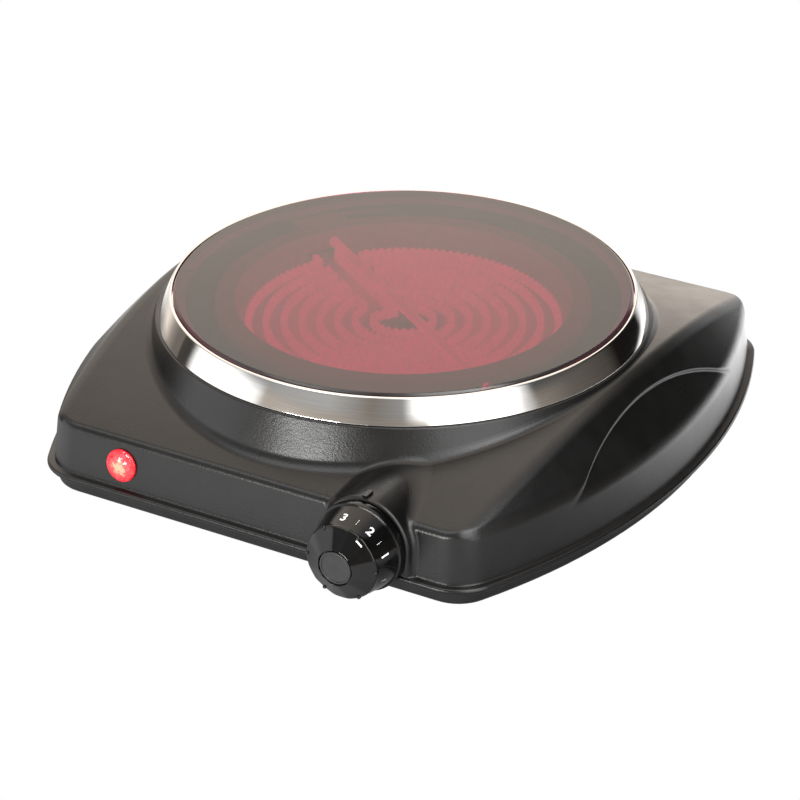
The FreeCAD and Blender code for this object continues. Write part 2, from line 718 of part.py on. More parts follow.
def terminal_block():
    """Three-pole ceramic connector on the base pan."""
    block = box((-19, BLOCK_Y - 8, FLOOR_Z), (19, BLOCK_Y + 8, FLOOR_Z + 15))
    for x in BLOCK_X:
        block = block.cut(rod(2.4, (x, BLOCK_Y - 20, 15), (x, BLOCK_Y + 20, 15)))
        for y in (-4, 4):
            block = block.cut(rod(1.9, (x, BLOCK_Y + y, 17), (x, BLOCK_Y + y, 40)))
    return block


def terminal_sleeves():
    return [tube(1.6, 2.4, (x, BLOCK_Y - 7, 15), (x, BLOCK_Y + 7, 15)) for x in BLOCK_X]


def terminal_screws():
    return [rod(1.8, (x, BLOCK_Y + y, 17.45), (x, BLOCK_Y + y, 20.5)) for x in BLOCK_X for y in (-4, 4)]


EARTH = (-40.0, 70.0)


def earth_screw():
    x, y = EARTH
    head = rod(3.8, (x, y, FLOOR_Z + 2.4), (x, y, FLOOR_Z + 4.4))
    return head.fuse(rod(SCREW_R, (x, y, FLOOR_Z), (x, y, FLOOR_Z + 2.4)))


def earth_tag():
    x, y = EARTH
    ring = tube(SCREW_R + 0.1, 4.2, (x, y, FLOOR_Z + 0.4), (x, y, FLOOR_Z + 1.2))
    neck = box((x + 3.8, y - 1.6, FLOOR_Z + 0.4), (x + 11, y + 1.6, FLOOR_Z + 1.2))
    return ring.fuse(neck)


# ---- internal wires ----------------------------------------------------------
WIRE_R = 1.3


def wires():
    """Each wire keeps to its own height above the pan, so none touch."""
    angle = math.radians(90 + HEATER_TURN)
    out = V(math.cos(angle), math.sin(angle), 0)
    along = V(-math.sin(angle), math.cos(angle), 0)
    tab_a = out * 81 - along * 6
    tab_b = out * 81 + along * 6
    blade_y = BOSS_FACE_Y + SKIN + REG_PLATE_T + REG_SIZE.y + 8
    live = wire_run([(BLOCK_X[2], BLOCK_Y - 8.2, 15), (BLOCK_X[2], BLOCK_Y - 20, 15), (20, 30, 10),
                     (DIAL_X + 8, -50, 10), (DIAL_X + 8, blade_y + 12, DIAL_Z - 8),
                     (DIAL_X + 8, blade_y + 0.3, DIAL_Z - 8)], WIRE_R)
    switched = wire_run([(DIAL_X - 8, blade_y + 0.3, DIAL_Z - 8), (DIAL_X - 8, blade_y + 14, DIAL_Z - 8),
                         (20, -40, 12), (tab_a.x * 0.7, tab_a.y * 0.7, 14),
                         (tab_a.x, tab_a.y, 22), (tab_a.x, tab_a.y, 37.7)], WIRE_R)
    neutral = wire_run([(BLOCK_X[0], BLOCK_Y - 8.2, 15), (BLOCK_X[0], BLOCK_Y - 18, 15),
                        (-40, BLOCK_Y - 22, 20), (tab_b.x, tab_b.y, 24), (tab_b.x, tab_b.y, 37.7)],
                       WIRE_R, 4.0)
    earth = wire_run([(0, BLOCK_Y - 8.2, 15), (0, BLOCK_Y - 22, 15), (-24, BLOCK_Y - 30, 9.5),
                      (EARTH[0] + 18, EARTH[1], 8.8), (EARTH[0] + 11.2, EARTH[1], 8.4)], 1.1, 4.0)
    return {"wire_live": live, "wire_switched": switched, "wire_neutral": neutral,
            "wire_earth": earth}


def lamp_leads():
    leads = []
    for offset, height in ((-1.2, 17.5), (1.2, 20.5)):
        start = on_front(Part.Vertex(offset, 0, -20.3)).Point
        straight = on_front(Part.Vertex(offset, 0, -32)).Point
        leads.append(wire_run([start, straight, (LAMP_X + 30, -72, height),
                               (DIAL_X - 26, -72, height), (DIAL_X - 8 + offset, -80.3, DIAL_Z + 4)],
                              0.8, 4.0))
    return leads


# ---- build -------------------------------------------------------------------
def main():
    housing, riser = housing_and_riser()
    studs, washers, nuts = ring_fixings()
    feet = foot_places()
    save("housing", housing)
    save("riser", riser)
    save("base_pan", base_pan())
    save("housing_brackets", *[housing_bracket(x, y > 0) for x, y in feet])
    save("rubber_feet", *[rubber_foot(x, y) for x, y in feet])
    save("foot_screws", *[pan_head_screw(x, y, 1.2, 13.0) for x, y in feet])
    save("trim_ring", trim_ring())
    save("ring_studs", *studs)
    save("ring_washers", *washers)
    save("ring_nuts", *nuts)
    save("glass_seal", tube(RING_SEAT_R + 0.3, GLASS_R, (0, 0, SEAT_Z), (0, 0, GLASS_LOW)))
    save("glass_plate", glass_plate())
    save("heater_pan", heater_pan())
    save("insulation_base", insulation_base())
    save("insulation_wall", insulation_wall())
    save("heating_ribbon", heating_ribbon())
    save("heater_tabs", *heater_tabs())
    save("limiter_rod", limiter_rod())
    save("limiter_switch", limiter_switch())
    save("limiter_blades", *limiter_blades())
    save("heater_crossbar", crossbar())
    save("heater_springs", leaf_spring(-SPRING_X), leaf_spring(SPRING_X))
    save("heat_shield", heat_shield())
    save("shield_spacers", *shield_spacers())
    save("knob", knob())
    save("knob_cap", knob_cap())
    save("knob_clip", knob_clip())
    save("regulator_shaft", regulator_shaft())
    save("regulator_body", regulator_body())
    save("regulator_plate", regulator_plate())
    save("regulator_screws", *regulator_screws())
    save("regulator_blades", *regulator_blades())
    save("pointer_mark", pointer_mark())
    save("lamp_lens", lamp_lens())
    save("lamp_clip", lamp_clip())
    save("lamp_holder", lamp_holder())
    save("lamp_tube", lamp_tube())
    save("lamp_leads", *lamp_leads())
    save("cable_gland", cable_gland())
    save("gland_cap", gland_cap())
    save("gland_nut", gland_nut())
    save("terminal_block", terminal_block())
    save("terminal_sleeves", *terminal_sleeves())
    save("terminal_screws", *terminal_screws())
    save("earth_screw", earth_screw())
    save("earth_tag", earth_tag())
    for name, wire in wires().items():
        save(name, wire)


main()
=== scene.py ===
import math

import bmesh
import bpy
import numpy as np
from mathutils import Matrix, Vector


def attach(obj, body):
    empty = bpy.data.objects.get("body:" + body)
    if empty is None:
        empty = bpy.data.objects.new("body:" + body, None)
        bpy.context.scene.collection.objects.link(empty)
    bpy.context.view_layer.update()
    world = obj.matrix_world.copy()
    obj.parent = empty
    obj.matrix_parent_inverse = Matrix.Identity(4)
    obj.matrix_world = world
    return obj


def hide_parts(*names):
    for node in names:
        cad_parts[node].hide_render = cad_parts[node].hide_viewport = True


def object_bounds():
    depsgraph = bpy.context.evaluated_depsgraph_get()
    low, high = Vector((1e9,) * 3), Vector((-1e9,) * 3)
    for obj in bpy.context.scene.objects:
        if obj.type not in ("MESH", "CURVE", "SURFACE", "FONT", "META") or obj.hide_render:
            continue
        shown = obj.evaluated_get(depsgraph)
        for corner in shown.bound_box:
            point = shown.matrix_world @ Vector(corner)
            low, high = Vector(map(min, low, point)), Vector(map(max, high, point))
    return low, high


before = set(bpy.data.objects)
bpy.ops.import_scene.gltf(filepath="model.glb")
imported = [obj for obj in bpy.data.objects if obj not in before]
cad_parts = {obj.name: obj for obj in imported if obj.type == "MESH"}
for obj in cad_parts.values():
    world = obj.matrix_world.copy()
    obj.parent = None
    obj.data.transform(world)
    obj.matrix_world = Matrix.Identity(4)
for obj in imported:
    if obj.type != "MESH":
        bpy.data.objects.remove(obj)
CAD_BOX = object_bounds()

# Infrared hot plate.  Shapes are worked out in millimetres in the CAD frame and
# scaled to metres when a mesh is made.
MM = 0.001

# ---- sizes of the pressed body (as in the CAD) -------------------------------
FRONT_Y, BACK_Y = -115.0, 117.0
BOW_R, BOW_X, BOW_Y = 251.8, 130.0, 9.0
CORNER_R = 17.0
WALL_Z, WALL_LEAN = 15.0, 0.118
LIP_LOW, LIP_REACH = 12.8, 2.97
EDGE_Z, ARCH_Z, RISER_Z = 34.8, 53.9, 55.0
MID_Y = (FRONT_Y + BACK_Y) / 2
EDGE_HALF = (BACK_Y - FRONT_Y) / 2 - WALL_LEAN * (EDGE_Z - WALL_Z)
ARCH_R = (EDGE_HALF ** 2 + (ARCH_Z - EDGE_Z) ** 2) / (2 * (ARCH_Z - EDGE_Z))
FACET_R, FACET_RUN = 249.4, 0.94
RECESS_DEPTH, RECESS_R, RECESS_TOP, RECESS_Y = 2.2, 121.7, 47.2, -4.0
RISER_R, RISER_LEAN, RISER_HOLE_R = 97.0, 0.36, 88.0
DIAL_X, DIAL_Z = 51.0, 25.0
BOSS_R, BOSS_FACE_Y, BOSS_BACK_Y = 18.2, -117.5, -60.0
KNOB_BACK_Y = -118.8
LAMP_X, LAMP_Z, LENS_R = -57.0, 24.5, 6.5
HEATER_TURN = math.radians(55.0)
HEATER_R, RIBBON_FOOT_Z, RIBBON_TOP_Z = 68.0, 46.6, 51.9


# ---- rounded joins of two surfaces, given as signed distances ----------------
def round_both(a, b, r):
    """Inside both, with the edge rounded by r."""
    u, v = np.maximum(a + r, 0), np.maximum(b + r, 0)
    return np.minimum(-r, np.maximum(a, b)) + np.sqrt(u * u + v * v)


def round_either(a, b, r):
    """Inside either, with the inner corner filled by r."""
    u, v = np.maximum(r - a, 0), np.maximum(r - b, 0)
    return np.maximum(r, np.minimum(a, b)) - np.sqrt(u * u + v * v)


def plan_distance(x, y):
    """Level distance outside the foot of the walls."""
    x = np.abs(x)
    flat = np.maximum(FRONT_Y + CORNER_R - y, y - BACK_Y + CORNER_R)
    inner_bow = BOW_R - CORNER_R
    bow = np.hypot(x + BOW_X, y - BOW_Y) - inner_bow
    distance = np.maximum(flat, bow)
    for edge, side in ((FRONT_Y + CORNER_R, -1), (BACK_Y - CORNER_R, 1)):
        corner_x = math.sqrt(inner_bow ** 2 - (edge - BOW_Y) ** 2) - BOW_X
        out_x, out_y = (corner_x + BOW_X) / inner_bow, side * (edge - BOW_Y) / inner_bow
        dx, dy = x - corner_x, side * (y - edge)
        wedge = (dx > 0) & (dy * out_x > dx * out_y)
        distance = np.where(wedge, np.hypot(dx, dy), distance)
    return distance - CORNER_R


def body_distance(x, y, z):
    """Signed distance to the pressed body's outer surface."""
    wall = (plan_distance(x, y) + WALL_LEAN * (z - WALL_Z)) / math.hypot(1, WALL_LEAN)
    arch = np.hypot(y - MID_Y, z - ARCH_Z + ARCH_R) - ARCH_R
    level = np.hypot(np.abs(x) + BOW_X, y - BOW_Y) - FACET_R + FACET_RUN * (z - EDGE_Z)
    facet = level / math.hypot(1, FACET_RUN)
    bite = np.hypot(y - RECESS_Y, z - RECESS_TOP + RECESS_R) - RECESS_R
    floor = (level + RECESS_DEPTH) / math.hypot(1, FACET_RUN)
    facet = round_both(facet, -round_both(bite, -floor, 1.2), 1.5)
    body = round_both(round_both(arch, facet, 2.6), wall, 2.0)
    across, up = np.abs(x - DIAL_X), np.maximum(z - DIAL_Z, 0)
    boss = np.hypot(across, up) - BOSS_R
    boss = round_both(boss, BOSS_FACE_Y - y, 1.6)
    boss = np.maximum(boss, y - BOSS_BACK_Y)
    body = round_either(body, boss, 2.5)
    cone = (np.hypot(x, y) - RISER_R - RISER_LEAN * (RISER_Z - z)) / math.hypot(1, RISER_LEAN)
    room = RISER_Z - ARCH_Z + (y - MID_Y) ** 2 / (2 * ARCH_R)
    fill = 2.6 * (1 - np.exp(-room / 2.6))
    body = round_either(body, cone, fill)
    return round_both(body, z - RISER_Z, 0.5)


def crossing(inside, outside):
    """Points where the surface crosses lines from inside to outside points."""
    low, high = np.zeros(inside[0].shape), np.ones(inside[0].shape)
    span = [b - a for a, b in zip(inside, outside)]
    for _ in range(22):
        mid = (low + high) / 2
        out = body_distance(*[a + mid * s for a, s in zip(inside, span)]) > 0
        high, low = np.where(out, mid, high), np.where(out, low, mid)
    return [a + high * s for a, s in zip(inside, span)]


# ---- mesh helpers ------------------------------------------------------------
def mesh_object(name, points, faces, body, smooth=True, sharp=None):
    mesh = bpy.data.meshes.new(name)
    mesh.from_pydata((np.asarray(points, float) * MM).tolist(), [], faces)
    shell = bmesh.new()
    shell.from_mesh(mesh)
    bmesh.ops.recalc_face_normals(shell, faces=shell.faces)
    shell.to_mesh(mesh)
    shell.free()
    mesh.update()
    if smooth:
        mesh.polygons.foreach_set("use_smooth", [True] * len(mesh.polygons))
        if sharp is not None:
            mesh.set_sharp_from_angle(angle=math.radians(sharp))
    piece = bpy.data.objects.new(name, mesh)
    bpy.context.scene.collection.objects.link(piece)
    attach(piece, body)
    return piece


def grid_faces(columns, rows, wrap_columns=True, wrap_rows=True):
    """Quads of a grid whose points are listed column by column."""
    faces = []
    for i in range(columns if wrap_columns else columns - 1):
        j = (i + 1) % columns
        for k in range(rows if wrap_rows else rows - 1):
            m = (k + 1) % rows
            faces.append((i * rows + k, i * rows + m, j * rows + m, j * rows + k))
    return faces


def rounded(corners, steps=5):
    """Closed outline with each (a, b, radius) corner rounded by an arc."""
    points = []
    count = len(corners)
    for i, (a, b, radius) in enumerate(corners):
        here = Vector((a, b))
        before = Vector(corners[i - 1][:2]) - here
        after = Vector(corners[(i + 1) % count][:2]) - here
        if radius <= 0:
            points.append(here)
            continue
        before.normalize()
        after.normalize()
        half = before.angle(after) / 2
        reach = radius / math.tan(half)
        centre = here + (before + after).normalized() * (radius / math.sin(half))
        start, end = here + before * reach - centre, here + after * reach - centre
        turn = start.angle_signed(end)
        for step in range(steps + 1):
            arc = start.copy()
            arc.rotate(Matrix.Rotation(-turn * step / steps, 2))
            points.append(centre + arc)
    return [(p.x, p.y) for p in points]


def lathe(outline, segments):
    """Points of a closed outline of (radius, height) turned about Z."""
    outline = np.array(outline)
    angles = np.linspace(0, 2 * math.pi, segments, endpoint=False)
    r, z = outline[:, 0], outline[:, 1]
    x, y = np.cos(angles)[:, None] * r, np.sin(angles)[:, None] * r
    return np.stack([x, y, np.broadcast_to(z, x.shape)], -1).reshape(-1, 3)


def lathe_object(name, outline, segments, body):
    faces = grid_faces(segments, len(outline))
    return mesh_object(name, lathe(outline, segments), faces, body, sharp=40)


# ---- pressed body ------------------------------------------------------------
def spread(density, count):
    """Values of a 0..1 variable, spaced by the given density samples."""
    total = np.concatenate([[0], np.cumsum((density[1:] + density[:-1]) / 2)])
    grid = np.linspace(0, 1, len(density))
    return np.interp(np.linspace(0, total[-1], count), total, grid)


def body_azimuths(count):
    """Columns round the body, closer together at the dial's boss and the corners."""
    azimuth = np.linspace(-180, 180, 1441)
    density = 1 + 1.6 * np.exp(-((azimuth + 63) / 13) ** 4)
    for corner in (-132, -48, 48, 132):
        density += 0.7 * np.exp(-((azimuth - corner) / 9) ** 4)
    return np.radians(-180 + 360 * spread(density, count + 1)[:-1])


def pressed_body():
    """One thin pressing: riser, arched top, facets, walls, boss and lip."""
    columns, rows, fine = 1300, 170, 320
    first_angle, ray, beyond, skin = math.radians(75.5), 90, 175, 1.0
    azimuth = body_azimuths(columns)[:, None]
    ux, uy = np.cos(azimuth), np.sin(azimuth)
    hub_r, hub_z = 80.0, 20.0

    def cast(angle):
        inside = [ux * hub_r + 0 * angle, uy * hub_r + 0 * angle, hub_z + 0 * angle]
        reach_r, reach_z = hub_r + ray * np.cos(angle), hub_z + ray * np.sin(angle)
        x, y, z = crossing(inside, [ux * reach_r, uy * reach_r, reach_z])
        return np.hypot(x, y), z

    foot_z = WALL_Z + 0.35
    x, y, _ = crossing([ux * hub_r, uy * hub_r, foot_z + 0 * ux],
                       [ux * beyond, uy * beyond, foot_z + 0 * ux])
    foot_r = np.hypot(x, y)
    last_angle = np.arctan2(foot_z - hub_z, foot_r - hub_r)
    share = np.linspace(0, 1, fine)[None, :]
    angle = first_angle + (last_angle - first_angle) * share
    r, z = cast(angle)
    dr, dz = np.diff(r, axis=1), np.diff(z, axis=1)
    length = np.hypot(dr, dz)
    heading = np.unwrap(np.arctan2(dz, dr), axis=1)
    bend = np.abs(np.diff(heading, axis=1))
    bend = np.pad(bend, ((0, 0), (1, 1)), mode="edge")
    weight = length + 5.0 * (bend[:, :-1] + bend[:, 1:]) / 2
    for _ in range(3):
        weight = (np.roll(weight, 1, 0) + 2 * weight + np.roll(weight, -1, 0)) / 4
    total = np.concatenate([np.zeros((columns, 1)), np.cumsum(weight, axis=1)], axis=1)
    target = np.linspace(0, 1, rows)
    angle = np.stack([np.interp(target * t[-1], t, a) for t, a in zip(total, angle)])
    r, z = cast(angle)

    # lip: from the wall's foot out to the bead and under it
    def at_reach(reach):
        low, high = 0 * ux + 60, 0 * ux + 190
        for _ in range(24):
            mid = (low + high) / 2
            out = plan_distance(ux * mid, uy * mid) > reach
            high, low = np.where(out, mid, high), np.where(out, low, mid)
        return high

    lip_r = at_reach(LIP_REACH)
    bead = [(-0.9, 2.2), (-0.5, 2.05), (-0.2, 1.75), (-0.04, 1.3), (0, 0.9), (-0.06, 0.5),
            (-0.3, 0.15), (-0.7, 0)]
    lip = [(foot_r + 0.12, WALL_Z + 0.12), (foot_r + 0.35, WALL_Z)]
    lip += [(lip_r + out, LIP_LOW + up) for out, up in bead]
    lip[1] = (np.minimum(lip[1][0], lip[2][0] - 0.05), WALL_Z)
    lip[0] = (np.minimum(lip[0][0], lip[1][0] - 0.05), WALL_Z + 0.12)
    lip_rs = np.concatenate([a for a, _ in lip], axis=1)
    lip_zs = np.array([b for _, b in lip])[None, :] + 0 * lip_rs

    # inner skin, one sheet's thickness in
    pick = np.arange(4, rows, 6)[::-1]
    pr, pz = r[:, pick], z[:, pick]
    step = 0.05

    def gradient(axis):
        shift = [0.0, 0.0, 0.0]
        shift[axis] = step
        ahead = body_distance(ux * pr + shift[0], uy * pr + shift[1], pz + shift[2])
        back = body_distance(ux * pr - shift[0], uy * pr - shift[1], pz - shift[2])
        return ahead - back

    normal = np.stack([gradient(0), gradient(1), gradient(2)], -1)
    normal /= np.linalg.norm(normal, axis=-1, keepdims=True)
    inner = np.stack([ux * pr, uy * pr, pz], -1) - skin * normal
    foot_in = foot_r - 1.1
    edge_in = np.stack([ux * foot_in, uy * foot_in, 0 * ux + LIP_LOW], -1)
    hole = [np.concatenate([ux * RISER_HOLE_R, uy * RISER_HOLE_R, 0 * ux + h], 1)[:, None, :]
            for h in (RISER_Z - skin, RISER_Z)]
    outer = np.stack([ux * r, uy * r, z], -1)
    lip_points = np.stack([ux * lip_rs, uy * lip_rs, lip_zs], -1)
    points = np.concatenate([hole[1], outer, lip_points, edge_in, inner, hole[0]], axis=1)
    faces = [f[::-1] for f in grid_faces(columns, points.shape[1])]
    return mesh_object("pressed_body", points.reshape(-1, 3), faces, "base",
                       sharp=50)


# ---- ring, glass and heater --------------------------------------------------
def ring_piece():
    outline = rounded([
        (89.0, 55.0, 0), (96.4, 55.0, 0.35), (91.5, 64.5, 0.9), (90.35, 64.5, 0.3),
        (90.35, 61.1, 0), (85.2, 61.1, 0.2), (85.2, 60.1, 0.2), (91.2, 60.1, 0),
        (91.2, 62.9, 0), (95.2, 55.8, 0), (89.0, 55.8, 0)])
    return lathe_object("polished_ring", outline, 640, "base")


def glass_piece():
    outline = rounded([(0.01, 61.3, 0), (89.3, 61.3, 0.4), (89.95, 62.3, 0.5),
                       (89.95, 64.4, 0.5), (89.0, 65.3, 0.6), (0.01, 65.3, 0)], 6)
    return lathe_object("glass_disc", outline, 480, "base")


def ribbon_route():
    """Middle line of the ribbon: eight loops broken by a straight gap."""
    gap, step, end_y = 9.0, 0.4, 66.0
    radii = [12.0 + 7.0 * i for i in range(8)]
    start_y = math.sqrt(radii[0] ** 2 - gap ** 2)
    turn_y = start_y - 0.4
    corners = [[(0.0, end_y), (0.0, turn_y), (-gap, turn_y), (-gap, start_y)]]
    side = -1
    for i, radius in enumerate(radii):
        half = math.asin(gap / radius)
        count = max(8, int(radius * (2 * math.pi - 2 * half) / step))
        turn = np.linspace(half, 2 * math.pi - half, count)
        corners.append([(side * radius * math.sin(t), radius * math.cos(t)) for t in turn])
        side = -side
        if i + 1 == len(radii):
            corners.append([(side * gap, end_y)])
    path = np.array([p for part in corners for p in part])
    run = np.concatenate([[0], np.cumsum(np.hypot(*np.diff(path, axis=0).T))])
    even = np.arange(0, run[-1], step)
    x, y = np.interp(even, run, path[:, 0]), np.interp(even, run, path[:, 1])
    return np.stack([x, y], -1), even


def ribbon_piece():
    """Corrugated strip standing on edge in the insulation."""
    swing, pitch, half_thick = 1.15, 3.2, 0.12
    path, run = ribbon_route()
    along = np.gradient(path, axis=0)
    along /= np.maximum(np.linalg.norm(along, axis=1, keepdims=True), 1e-9)
    across = np.stack([-along[:, 1], along[:, 0]], -1)
    wave = swing * np.sin(2 * math.pi * run / pitch)
    middle = path + across * wave[:, None]
    tangent = np.gradient(middle, axis=0)
    tangent /= np.linalg.norm(tangent, axis=1, keepdims=True)
    side = np.stack([-tangent[:, 1], tangent[:, 0]], -1) * half_thick
    cos, sin = math.cos(HEATER_TURN), math.sin(HEATER_TURN)
    rings = []
    for sign, height in ((1, RIBBON_FOOT_Z), (1, RIBBON_TOP_Z),
                         (-1, RIBBON_TOP_Z), (-1, RIBBON_FOOT_Z)):
        p = middle + sign * side
        x, y = p[:, 0] * cos - p[:, 1] * sin, p[:, 0] * sin + p[:, 1] * cos
        rings.append(np.stack([x, y, np.full(len(x), height)], -1))
    points = np.stack(rings, axis=1)
    count = len(points)
    faces = grid_faces(count, 4, wrap_columns=False)
    last = (count - 1) * 4
    faces += [(0, 1, 2, 3), (last + 3, last + 2, last + 1, last)]
    return mesh_object("corrugated_ribbon", points.reshape(-1, 3), faces, "base",
                       sharp=50)


# ---- dial --------------------------------------------------------------------
SIDE_FOOT_R, GRIP_R, SKIRT_TOP_Z, SIDE_TOP_Z = 16.8, 14.6, 3.0, 14.2
FRONT_TOP_Z, FRONT_SLOPE = 19.55, 0.63
PRINT_AHEAD, PRINT_LIFT, PRINT_THICK = 9.6, 0.02, 0.03


def on_dial(points):
    """Local points, Z ahead of the knob's back and Y up, placed on the dial's axis."""
    p = np.asarray(points, float)
    return np.stack([DIAL_X + p[..., 0], KNOB_BACK_Y - p[..., 2], DIAL_Z + p[..., 1]], -1)


def knob_front(r, a):
    """Height of the grip's faceted front: six wide flats with narrow ones between."""
    soft = 0.13
    total = 0
    for k in range(12):
        reach = 14.0 if k % 2 == 0 else 14.4
        height = 15.0 + (reach - r * np.cos(a - k * math.pi / 6)) * FRONT_SLOPE
        total = total + np.exp(-height / soft)
    return -soft * np.log(total)


def knob_piece():
    segments = 360
    a = np.linspace(0, 2 * math.pi, segments, endpoint=False)
    level = [(16.0, 0.0), (17.35, 0.0), (17.55, 0.12), (17.6, 0.4), (17.6, 2.5), (17.54, 2.8),
             (17.35, 2.95), (17.1, 3.0), (16.95, 3.0), (16.83, 3.05), (16.76, 3.2), (16.6, 4.0),
             (16.2, 6.0), (15.8, 8.0), (15.37, 10.0), (14.95, 12.0), (14.68, 13.4), (14.6, 14.0),
             (14.6, 14.3)]
    rows = [(np.full(segments, r), np.full(segments, z)) for r, z in level]
    for r, drop in ((14.6, 0.45), (14.58, 0.28), (14.5, 0.14), (14.38, 0.05), (14.2, 0.0),
                    (13.6, 0), (12.6, 0), (11.4, 0), (10.2, 0), (9.0, 0), (8.0, 0), (7.4, 0.0),
                    (7.15, 0.02), (6.98, 0.12), (6.86, 0.35), (6.8, 0.7)):
        rr = np.full(segments, r)
        top = np.minimum(knob_front(rr, a), FRONT_TOP_Z) - drop
        rows.append((rr, top))
    for r, z in ((6.78, 18.5), (6.3, 18.5), (0.01, 18.5), (0.01, 13.4), (12.8, 13.4),
                 (15.3, 3.0), (15.4, 0.0)):
        rows.append((np.full(segments, r), np.full(segments, z)))
    r = np.stack([b for b, _ in rows], 1)
    z = np.stack([h for _, h in rows], 1)
    points = np.stack([r * np.cos(a)[:, None], r * np.sin(a)[:, None], z], -1)
    faces = grid_faces(segments, len(rows))
    return mesh_object("dial_knob", on_dial(points).reshape(-1, 3), faces, "dial",
                       sharp=35)


def knob_cap_piece():
    outline = rounded([(0.01, 18.6, 0), (6.45, 18.6, 0), (6.45, 19.4, 0.3), (5.75, 19.55, 0.2),
                       (5.6, 19.1, 0.05), (0.01, 19.1, 0)], 5)
    segments = 180
    faces = grid_faces(segments, len(outline))
    return mesh_object("dial_cap", on_dial(lathe(outline, segments)), faces, "dial",
                       sharp=35)


def knob_nibs():
    """Six small grip nibs on the rim, in one mesh."""
    points, faces = [], []
    turns, rings, reach, height = 16, 7, 14.1, 14.7
    wide, tall = 0.85, 1.0
    for k in range(6):
        a = k * math.pi / 3
        centre = Vector((reach * math.cos(a), reach * math.sin(a), height))
        first = len(points)
        for ring in range(rings):
            polar = math.pi * (ring + 0.5) / rings
            for turn in range(turns):
                t = 2 * math.pi * turn / turns
                out = wide * math.sin(polar)
                offset = Vector((out * math.cos(t), out * math.sin(t), tall * math.cos(polar)))
                points.append(centre + offset)
        for ring in range(rings - 1):
            for turn in range(turns):
                n = (turn + 1) % turns
                faces.append((first + ring * turns + turn, first + (ring + 1) * turns + turn,
                              first + (ring + 1) * turns + n, first + ring * turns + n))
        faces.append(tuple(first + t for t in range(turns)))
        faces.append(tuple(first + (rings - 1) * turns + t for t in reversed(range(turns))))
    return mesh_object("dial_nibs", on_dial(points), faces, "dial")


def on_side(piece, turn):
    """Wraps a flat piece round the knob's tapering side, its top towards the skirt."""
    taper = (SIDE_FOOT_R - GRIP_R) / (SIDE_TOP_Z - SKIRT_TOP_Z)
    for vertex in piece.data.vertices:
        along, up, lift = vertex.co
        height = PRINT_AHEAD - up
        r = SIDE_FOOT_R - taper * (height - SKIRT_TOP_Z)
        angle = turn - along / r
        r += PRINT_LIFT + lift
        local = (r * math.cos(angle), r * math.sin(angle), height)
        vertex.co = Vector(on_dial(local).tolist())
    return piece


def dial_marks():
    """Printed numbers and ticks, joined into one thin piece."""
    pieces = []
    for text, degrees in (("3", 97), ("2", 55), ("1", 17), ("0", -60)):
        curve = bpy.data.curves.new("number", "FONT")
        curve.body = text
        curve.size = 5.0
        curve.align_x = "CENTER"
        curve.align_y = "CENTER"
        curve.offset = 0.1
        curve.extrude = PRINT_THICK
        curve.resolution_u = 6
        font_object = bpy.data.objects.new("number", curve)
        mesh = bpy.data.meshes.new_from_object(font_object)
        bpy.data.objects.remove(font_object)
        pieces.append(on_side(bpy.data.objects.new("number", mesh), math.radians(degrees)))
    for degrees in (76, 36, -21.5):
        mesh = bpy.data.meshes.new("tick")
        x, y = 0.07, 1.3
        corners = [(-x, -y, 0), (x, -y, 0), (x, y, 0), (-x, y, 0)]
        corners += [(a, b, PRINT_THICK) for a, b, _ in corners]
        mesh.from_pydata(corners, [], box_faces())
        pieces.append(on_side(bpy.data.objects.new("tick", mesh), math.radians(degrees)))
    points, faces = [], []
    for piece in pieces:
        first = len(points)
        points += [tuple(v.co) for v in piece.data.vertices]
        faces += [tuple(first + i for i in p.vertices) for p in piece.data.polygons]
        bpy.data.objects.remove(piece)
    bar = []
    bar_steps = 6
    for turn in np.linspace(math.radians(47), math.radians(60), bar_steps):
        for r, lift in ((12.9, -0.3), (13.4, -0.3), (13.4, 0.05), (12.9, 0.05)):
            z = float(knob_front(r, turn)) + lift
            bar.append((r * math.cos(turn), r * math.sin(turn), z))
    first = len(points)
    points += [tuple(p) for p in on_dial(bar)]
    last = (bar_steps - 1) * 4
    shell = grid_faces(bar_steps, 4, wrap_columns=False)
    shell += [(0, 1, 2, 3), (last + 3, last + 2, last + 1, last)]
    faces += [tuple(first + i for i in f) for f in shell]
    return mesh_object("dial_numbers", points, faces, "dial", smooth=False)


def box_faces():
    return [(3, 2, 1, 0), (4, 5, 6, 7), (0, 1, 5, 4), (1, 2, 6, 5), (2, 3, 7, 6), (3, 0, 4, 7)]


# ---- lamp --------------------------------------------------------------------
def lamp_frame(points):
    """Local points, Z out of the leaning front wall, placed at the lamp."""
    lean = math.atan(WALL_LEAN)
    turn = Matrix.Rotation(math.pi / 2 - lean, 3, "X")
    foot = Vector((LAMP_X, FRONT_Y + WALL_LEAN * (LAMP_Z - WALL_Z), LAMP_Z))
    return [foot + turn @ Vector(p) for p in points]


def lens_piece():
    """Cut lens: smooth bezel, then flat facets up to a small centre."""
    profile = [(5.0, -12.0), (5.0, 0.0), (6.3, 0.0), (LENS_R, 0.25), (LENS_R, 0.8),
               (6.2, 1.15), (5.6, 1.3), (5.1, 1.25), (4.1, 2.1), (2.2, 2.5),
               (0.01, 2.2), (0.01, -0.6), (4.1, -0.6), (4.1, -12.0)]
    outer_cut, inner_cut = 8, 9
    points = []
    count = 24
    for step in range(count):
        a = 2 * math.pi * step / count
        for index, (r, z) in enumerate(profile):
            pull = 1.0
            if index == outer_cut:
                pull = 1.06 if step % 2 == 0 else 0.93
            if index == inner_cut:
                pull = 0.85 if step % 4 < 2 else 1.2
            points.append((r * pull * math.cos(a), r * pull * math.sin(a), z))
    faces = grid_faces(count, len(profile))
    return mesh_object("lamp_jewel", lamp_frame(points), faces, "base", sharp=14)


